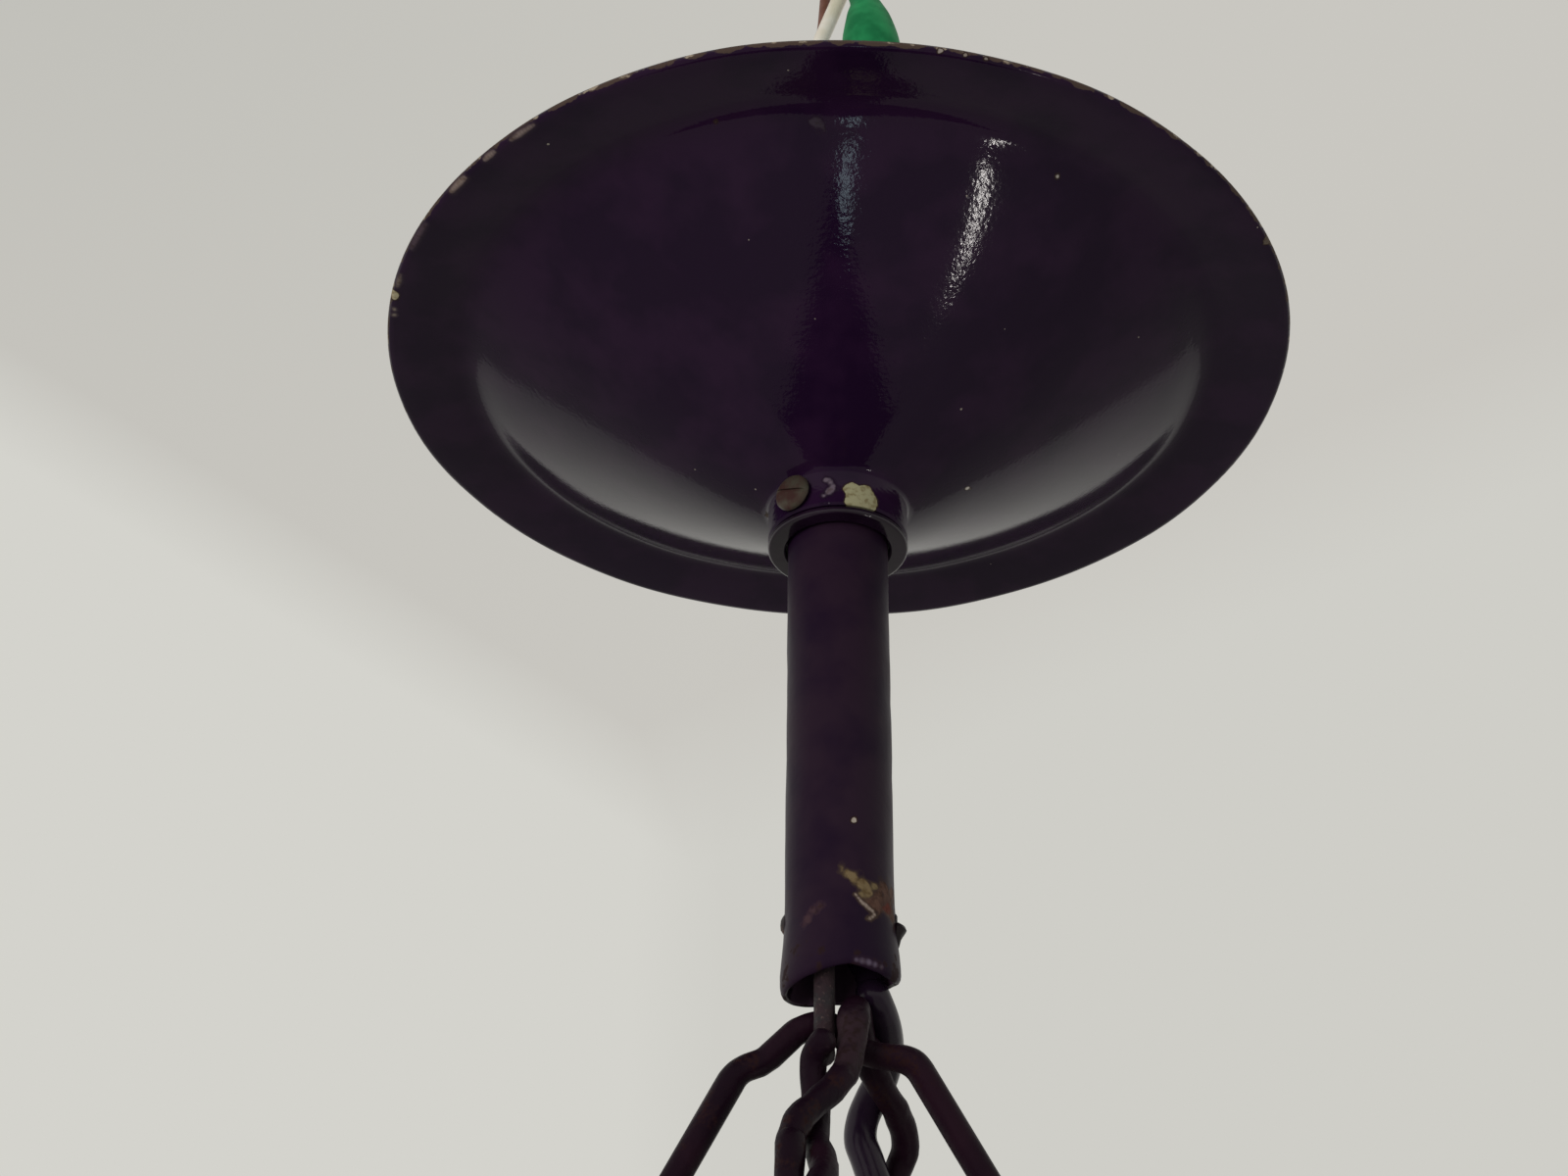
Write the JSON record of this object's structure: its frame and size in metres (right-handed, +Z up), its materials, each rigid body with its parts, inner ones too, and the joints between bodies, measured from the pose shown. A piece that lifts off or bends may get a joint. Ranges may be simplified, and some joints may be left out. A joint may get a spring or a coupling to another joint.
{
  "type": "lantern pendant lamp",
  "caption": "Lantern pendant lamp with a ceiling hook, a cone canopy on a stem tube, wire hangers and a square pierced lantern with a door.",
  "frame": {"origin": "on the ceiling hook's shank axis, at the ceiling (the top face of the hook's collar)", "axes": "+Z up along the stem tube; +X to the right hanger leg; -Y to the front hanger leg, towards the picture's camera"},
  "size_m": [0.221, 0.221, 0.6764],
  "materials": {
    "canopy_paint": "gloss, hand painted purple-black, chipped at the rim",
    "stem_paint": "gloss, hand painted purple-black",
    "lantern_paint": "gloss, hand painted black",
    "black_steel": "worn black paint over steel",
    "rusty_wire": "matte, rusted",
    "screw_steel": "tarnished",
    "hook_vinyl": "dipped green vinyl over steel",
    "block_plastic": "satin",
    "cream_pvc": "satin",
    "brown_pvc": "satin",
    "black_pvc": "gloss",
    "aged_brass": "aged",
    "holder_plastic": "gloss",
    "clear_glass": "clear",
    "opal_glass": "opal"
  },
  "bodies": {
    "hook": {"ceiling_hook": "hook_vinyl"},
    "bail": {"top_bail": "black_steel", "upper_cross_pin": "black_steel"},
    "stem": {"stem_tube": "stem_paint", "lower_cross_pin": "black_steel", "terminal_block": "block_plastic", "cream_lead": "cream_pvc", "brown_lead": "brown_pvc", "stem_flex": "black_pvc"},
    "canopy": {"canopy_shell": "canopy_paint", "canopy_collar": "canopy_paint"},
    "set_screw": {"canopy_screw": "screw_steel"},
    "link": {"main_link": "rusty_wire"},
    "door_leaf": {"door": "lantern_paint", "door_glass": "clear_glass"},
    "latch": {"turn_latch": "black_steel"},
    "ring": {"finial_ring": "black_steel"},
    "lantern": {"hanger_flex": "black_pvc", "side_spreader": "black_steel", "front_back_spreader": "black_steel", "front_tie_wire": "black_steel", "top_frame": "lantern_paint", "bottom_frame": "lantern_paint", "hinge_leaf_upper": "black_steel", "hinge_leaf_lower": "black_steel", "hinge_pin": "black_steel", "latch_rivet": "black_steel", "roof": "lantern_paint", "roof_bush": "aged_brass", "nipple": "aged_brass", "lampholder": "holder_plastic", "bulb": "opal_glass", "base_tray": "lantern_paint", "finial": "lantern_paint", "finial_nut": "black_steel", "corner_eye_1": "black_steel", "corner_post_1": "lantern_paint", "corner_eye_2": "black_steel", "corner_post_2": "lantern_paint", "corner_eye_3": "black_steel", "corner_post_3": "lantern_paint", "corner_eye_4": "black_steel", "corner_post_4": "lantern_paint", "pierced_screen_1": "lantern_paint", "glass_pane_1": "clear_glass", "pierced_screen_2": "lantern_paint", "glass_pane_2": "clear_glass", "pierced_screen_3": "lantern_paint", "glass_pane_3": "clear_glass"}
  },
  "joints": [
    {"name": "bail_swing", "type": "hinge", "parent": "hook", "child": "bail", "pos_m": [0, 0, -0.04305], "axis": [1, 0, 0], "range_deg": [-5, 5]},
    {"name": "stem_swing", "type": "hinge", "parent": "bail", "child": "stem", "pos_m": [0, 0, -0.091], "axis": [0, 1, 0], "range_deg": [-2.5, 2.5]},
    {"name": "canopy_slide", "type": "slide", "parent": "stem", "child": "canopy", "axis": [0, 0, 1], "range_m": [-0.049, 0.017]},
    {"name": "set_screw_out", "type": "slide", "parent": "canopy", "child": "set_screw", "axis": [-0.5934, -0.8049, 0], "range_m": [0, 0.0018]},
    {"name": "link_swing", "type": "hinge", "parent": "stem", "child": "link", "pos_m": [0, 0, -0.1755], "axis": [1, 0, 0], "range_deg": [-2, 2]},
    {"name": "lantern_swing", "type": "hinge", "parent": "link", "child": "lantern", "pos_m": [-0.0018, 0, -0.19085], "axis": [0, 1, 0], "range_deg": [-3, 3]},
    {"name": "door_hinge", "type": "hinge", "parent": "lantern", "child": "door_leaf", "pos_m": [0.011, -0.09535, -0.46852], "axis": [0, 0, -1], "range_deg": [0, 105]},
    {"name": "latch_turn", "type": "hinge", "parent": "lantern", "child": "latch", "pos_m": [0.09744, -0.00495, -0.48052], "axis": [0.7071, -0.7071, 0], "range_deg": [0, 90]},
    {"name": "ring_swing", "type": "hinge", "parent": "lantern", "child": "ring", "pos_m": [0, 0, -0.63292], "axis": [1, 0, 0], "range_deg": [-40, 40]}
  ]
}
